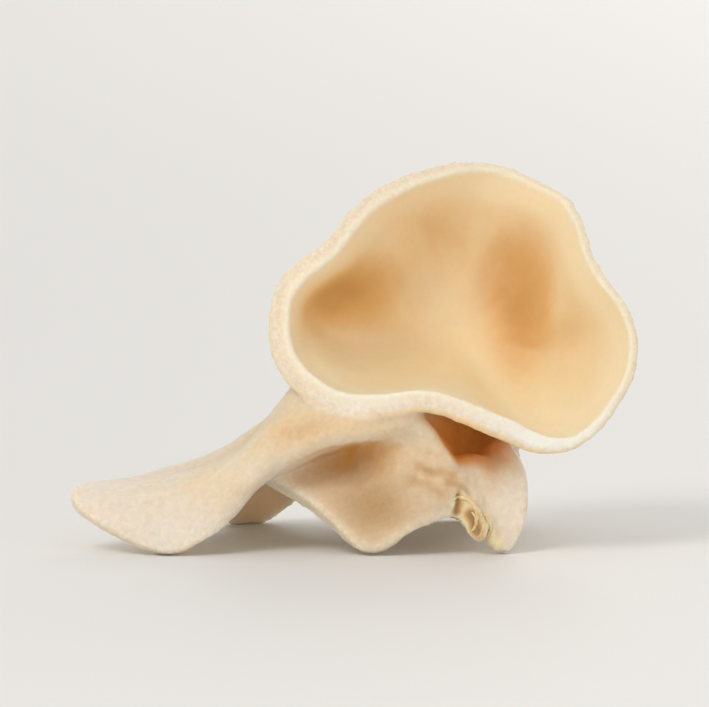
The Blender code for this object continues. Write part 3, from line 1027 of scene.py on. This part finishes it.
class WOODEAR_OT_flesh(bpy.types.Operator):
    """Model the fused flesh: cup, skirt and stub in one skin"""

    bl_idname = "wood_ear.flesh"
    bl_label = "Flesh"

    def execute(self, context):
        flesh = context.scene.wood_ear_flesh
        wave = flesh.waviness / MM
        cup, lip = cup_surface()
        skirt, hem = skirt_surface(cup)
        cup, skirt = wander(cup, wave), wander(skirt, wave)
        pieces = [
            sheet("cup", cup, lip, 0.0, flesh),
            sheet("skirt", skirt, hem, SKIRT_INNER, flesh),
            stub_balls(),
        ]
        mesh = fused(pieces, flesh.detail)
        mesh.verts.index_update()
        skin = Skin(mesh, cup, lip, skirt, hem)
        roughen(skin)
        points, shift = placed(skin.points)
        for vert, point in zip(mesh.verts, points):
            vert.co = Vector(point) * MM
        torn = [v for v in mesh.verts if skin.torn[v.index] > 0.05 and v.co.z > 0.5 * MM]
        for _ in range(2):
            bmesh.ops.smooth_vert(mesh, verts=torn, factor=0.4)
        points = np.array([v.co for v in mesh.verts]) / MM
        mesh.normal_update()
        normals = np.array([v.normal for v in mesh.verts])
        tree = BVHTree.FromPolygons(
            [tuple(p) for p in points], [[v.index for v in f.verts] for f in mesh.faces]
        )
        # occlusion, used below only to paint shade: warmer, darker flesh and the painted glow where
        # the skin is closed in
        occlusion = occlusion_at(tree, points, normals)
        occlusion = spread(occlusion, skin.edges, skin.count, OCCLUSION_SPREAD)
        ear = new_object("ear_flesh", mesh)
        ear.data.shade_smooth()
        # inside: the flesh's own warmer tone and painted shade from the listed spots, with painted
        # shade from the occlusion
        inside = blobs(skin.points, TONE_AND_SHADE_INSIDE) * smooth_step(skin.rim_away, 0.5, 3.2)
        inside += 0.35 * (occlusion - 0.3) + 0.1 * (skin.streak - 0.35)
        # outside: the flesh's own warmer tone and painted shade from the listed spots, with painted
        # shade from the occlusion
        outside = blobs(skin.points, TONE_AND_SHADE_OUTSIDE) + 0.45 * smooth_step(occlusion, 0.2, 0.8)
        # warmer towards the neck, and painted shade in the wrinkles' valleys
        outside += 0.26 * (1.0 - skin.share**2) + 0.22 * skin.valley
        # paler along the folds' raised side as a painted highlight; warmer and darker in the
        # creases as painted shade
        outside = outside * (1.0 - skin.pale) + 0.2 * skin.pale + 2.6 * skin.crease
        # painted glow and shade round the deepest hollows, where the skin is closed in and where it
        # sinks beyond the skirt's front fold
        painted_glow = blobs(skin.points, PAINTED_GLOW_SPOTS) * np.maximum(smooth_step(occlusion, 0.36, 0.6), skin.sunk)
        looks = {
            "inner": (skin.inner, 3),
            "tone_and_shade_inside": (np.clip(inside, 0.0, 1.0), 2),
            "tone_and_shade_outside": (np.clip(outside, 0.0, 1.0), 2),
            "painted_glow": (painted_glow, 2),
            "lip": (skin.lip * 0.75, 2),
            "white": (skin.lip * skin.white * (1.0 - skin.back_edge), 2),
            "lit_edge": (skin.back_edge * blobs(skin.points, LIT_EDGE), 1),
            "painted_shade": (blobs(skin.points, PAINTED_SHADE_SPOTS), 2),
            "palest": (blobs(skin.points, PALEST), 2),
            "rim": (skin.lip, 2),
            # painted highlight along the lip's inner edge, weaker where the lip is whitest
            "edge": (skin.edge * (0.5 - 0.3 * skin.white), 1),
            "back_edge": (skin.back_edge, 1),
            "crest": (skin.crest, 0),
            "torn": (skin.torn, 1),
            "tear": (skin.tear, 0),
            "on_cup": (skin.on_cup.astype(float), 0),
            "pale": (skin.pale, 1),
        }
        for name, (values, steps) in looks.items():
            put_attribute(ear.data, name, spread(values, skin.edges, skin.count, steps))
        clad(ear, flesh_material(flesh))
        ear["shift"] = [float(value) for value in shift]
        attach(ear, "root")
        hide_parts(NODE)
        return {"FINISHED"}


def values_of(data, name):
    """The numbers that a mesh keeps under a name."""
    values = np.zeros(len(data.vertices), np.float32)
    data.attributes[name].data.foreach_get("value", values)
    return values


class WOODEAR_OT_down(bpy.types.Operator):
    """Grow the short down of the outer face, on the cup's back and on the skirt"""

    bl_idname = "wood_ear.down"
    bl_label = "Down"

    def execute(self, context):
        down = context.scene.wood_ear_down
        ear = bpy.data.objects["ear_flesh"]
        limits = HAIRLESS.items()
        hairy = np.all([values_of(ear.data, name) < limit for name, limit in limits], axis=0)
        on_cup = values_of(ear.data, "on_cup") > 0.5
        material = down_material(context.scene.wood_ear_flesh)
        for name, here in (("cup_down", on_cup), ("skirt_down", ~on_cup)):
            self.grow(name, ear, hairy & here, down, material)
        return {"FINISHED"}

    def grow(self, name, ear, here, down, material):
        """One piece of down: three-sided hairs on triangles drawn from where the mask allows."""
        rng = np.random.default_rng(down.seed)
        seeds = bmesh.new()
        seeds.from_mesh(ear.data)
        bmesh.ops.triangulate(seeds, faces=seeds.faces)
        seeds.faces.ensure_lookup_table()
        usable = [
            f.index
            for f in seeds.faces
            if all(here[v.index] and v.co.z > HAIR_LOWEST * MM for v in f.verts)
        ]
        kept = set(rng.choice(usable, min(down.count, len(usable)), replace=False).tolist())
        spare = [f for f in seeds.faces if f.index not in kept]
        bmesh.ops.delete(seeds, geom=spare, context="FACES")
        bmesh.ops.split_edges(seeds, edges=seeds.edges)
        for face in seeds.faces:
            weights = rng.dirichlet((1.5, 1.5, 1.5))
            middle = sum((v.co * w for v, w in zip(face.verts, weights)), Vector())
            middle -= face.normal * ROOT_DEPTH * MM
            size = down.width * rng.uniform(0.7, 1.2)
            centre = face.calc_center_median()
            for vert in face.verts:
                vert.co = middle + (vert.co - centre).normalized() * size * ROOT_SHARE
        top = seeds.faces[:]
        under = bmesh.ops.duplicate(seeds, geom=top)
        base = [f for f in under["geom"] if isinstance(f, bmesh.types.BMFace)]
        bmesh.ops.reverse_faces(seeds, faces=base)
        tips = bmesh.ops.poke(seeds, faces=top)["verts"]
        for tip in tips:
            normal = sum((f.normal for f in tip.link_faces), Vector()).normalized()
            shorter = FRONT_LENGTH if tip.co.y < FRONT_Y * MM else 1.0
            length = down.length * rng.uniform(0.4, 1.0) * shorter
            lean = Vector(rng.normal(0.0, HAIR_LEAN, 3))
            fall = Vector((0.0, 0.0, -HAIR_FALL))
            tip.co += normal * ROOT_DEPTH * MM
            tip.co += (normal + lean + fall - normal * (lean + fall).dot(normal)) * length
        bmesh.ops.remove_doubles(seeds, verts=seeds.verts, dist=1e-8)
        hairs = new_object(name, seeds)
        clad(hairs, material)
        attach(hairs, "root")


def laid_arc(tree, shift, row, wobble):
    """The points of a curl's arc on the flesh, up to where the flesh ends or steps away."""
    (x, z), (wide, tall), first, last, _ = row
    angles = np.radians(first + (last - first) * np.linspace(0.0, 1.0, CURL_POINTS))
    laid = []
    for angle, swell in zip(angles, wobble):
        across, up = wide * swell * math.cos(angle), tall * swell * math.sin(angle)
        at = (Vector((x + across, CURL_START, z + up)) + shift) * MM
        hit = tree.ray_cast(at, Vector((0.0, 1.0, 0.0)))[0]
        if hit is None or (laid and abs(hit.y - laid[-1].y) > CURL_STEP * MM):
            if laid:
                break
            continue
        laid.append(hit + Vector((0.0, CURL_SINK * MM, 0.0)))
    return laid


class WOODEAR_OT_fibres(bpy.types.Operator):
    """Add the curled layers torn open at the stub"""

    bl_idname = "wood_ear.fibres"
    bl_label = "Torn layers"

    def execute(self, context):
        ear = bpy.data.objects["ear_flesh"]
        shift = Vector(ear["shift"])
        tree = BVHTree.FromObject(ear, context.evaluated_depsgraph_get())
        rng = np.random.default_rng(CURL_SEED)
        curve = bpy.data.curves.new("curls", "CURVE")
        curve.dimensions = "3D"
        curve.bevel_depth = MM
        curve.bevel_resolution = 2
        curve.use_fill_caps = True
        for row in CURLS:
            wobble = 1.0 + 0.06 * np.cumsum(rng.normal(0.0, 0.5, CURL_POINTS))
            laid = laid_arc(tree, shift, row, wobble)
            if len(laid) < CURL_FEWEST:
                continue
            half = row[-1]
            spline = curve.splines.new("POLY")
            spline.points.add(len(laid) - 1)
            for index, (point, place) in enumerate(zip(spline.points, laid)):
                along = index / (len(laid) - 1)
                point.co = (place.x, place.y, max(place.z, CURL_LOWEST * MM), 1.0)
                point.radius = half * (0.3 + 0.7 * math.sin(math.pi * along) ** 0.5)
        curls = bpy.data.objects.new("curls", curve)
        context.scene.collection.objects.link(curls)
        shown = curls.evaluated_get(context.evaluated_depsgraph_get())
        mesh = bpy.data.meshes.new_from_object(shown)
        bpy.data.objects.remove(curls)
        fibres = bpy.data.objects.new("stub_fibres", mesh)
        context.scene.collection.objects.link(fibres)
        fibres.data.shade_smooth()
        clad(fibres, shred_material(context.scene.wood_ear_flesh))
        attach(fibres, "root")
        return {"FINISHED"}


def area_light(name, place, target, size, energy, colour):
    """A round soft light turned to its target."""
    data = bpy.data.lights.new(name, "AREA")
    data.shape = "DISK"
    data.size = size
    data.energy = energy
    data.color = colour
    light = bpy.data.objects.new(name, data)
    light.location = place
    light.rotation_euler = (target - place).to_track_quat("-Z", "Y").to_euler()
    bpy.context.scene.collection.objects.link(light)


class WOODEAR_OT_stage(bpy.types.Operator):
    """Set the floor, the soft light and the camera"""

    bl_idname = "wood_ear.stage"
    bl_label = "Stage"

    def execute(self, context):
        stage = context.scene.wood_ear_stage
        low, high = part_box(NODE)
        middle = (Vector(low) + Vector(high)) / 2.0
        mesh = bmesh.new()
        flat = Matrix.Translation((0.0, 0.0, low[2] - 0.02 * MM))
        bmesh.ops.create_grid(mesh, x_segments=2, y_segments=2, size=FLOOR_HALF, matrix=flat)
        floor = new_object("floor", mesh)
        material, _, shader = new_material("pale_floor")
        shader.inputs["Base Color"].default_value = (*stage.floor_colour, 1.0)
        shader.inputs["Roughness"].default_value = 0.6
        clad(floor, material)

        world = bpy.data.worlds.new("studio")
        world.use_nodes = True
        background = world.node_tree.nodes["Background"]
        background.inputs["Color"].default_value = SKY_COLOUR
        background.inputs["Strength"].default_value = SKY_STRENGTH
        context.scene.world = world
        for name, offset, size, energy, colour in LIGHTS:
            area_light(name, middle + Vector(offset), middle, size, energy, colour)

        data = bpy.data.cameras.new("camera")
        data.sensor_width = SENSOR
        data.lens = data.sensor_width * stage.distance / stage.view_width
        data.clip_start = 0.01
        camera = bpy.data.objects.new("camera", data)
        away = Vector((0.0, -math.cos(stage.elevation), math.sin(stage.elevation)))
        camera.location = middle + away * stage.distance
        camera.rotation_euler = (-away).to_track_quat("-Z", "Y").to_euler()
        context.scene.collection.objects.link(camera)
        context.scene.camera = camera
        context.scene.view_settings.view_transform = "Standard"
        return {"FINISHED"}


class WOODEAR_PT_panel(bpy.types.Panel):
    """The mushroom's pieces, in the order they are made"""

    bl_idname = "WOODEAR_PT_panel"
    bl_label = "Wood ear mushroom"
    bl_space_type = "VIEW_3D"
    bl_region_type = "UI"
    bl_category = "Wood ear"

    def draw(self, context):
        for settings in ("wood_ear_flesh", "wood_ear_down", "wood_ear_stage"):
            box = self.layout.box()
            group = getattr(context.scene, settings)
            for name in group.__annotations__:
                box.prop(group, name)
        for operator in PIECES:
            self.layout.operator(operator.bl_idname)


PIECES = (WOODEAR_OT_stage, WOODEAR_OT_flesh, WOODEAR_OT_down, WOODEAR_OT_fibres)
SETTINGS = (
    ("wood_ear_flesh", FleshSettings),
    ("wood_ear_down", DownSettings),
    ("wood_ear_stage", StageSettings),
)


def register():
    for name, group in SETTINGS:
        bpy.utils.register_class(group)
        setattr(bpy.types.Scene, name, PointerProperty(type=group))
    for made in (*PIECES, WOODEAR_PT_panel):
        bpy.utils.register_class(made)


def unregister():
    for made in (WOODEAR_PT_panel, *reversed(PIECES)):
        bpy.utils.unregister_class(made)
    for name, group in reversed(SETTINGS):
        delattr(bpy.types.Scene, name)
        bpy.utils.unregister_class(group)


def main():
    register()
    bpy.ops.wood_ear.stage()
    bpy.ops.wood_ear.flesh()
    bpy.ops.wood_ear.down()
    bpy.ops.wood_ear.fibres()


if __name__ == "__main__":
    main()
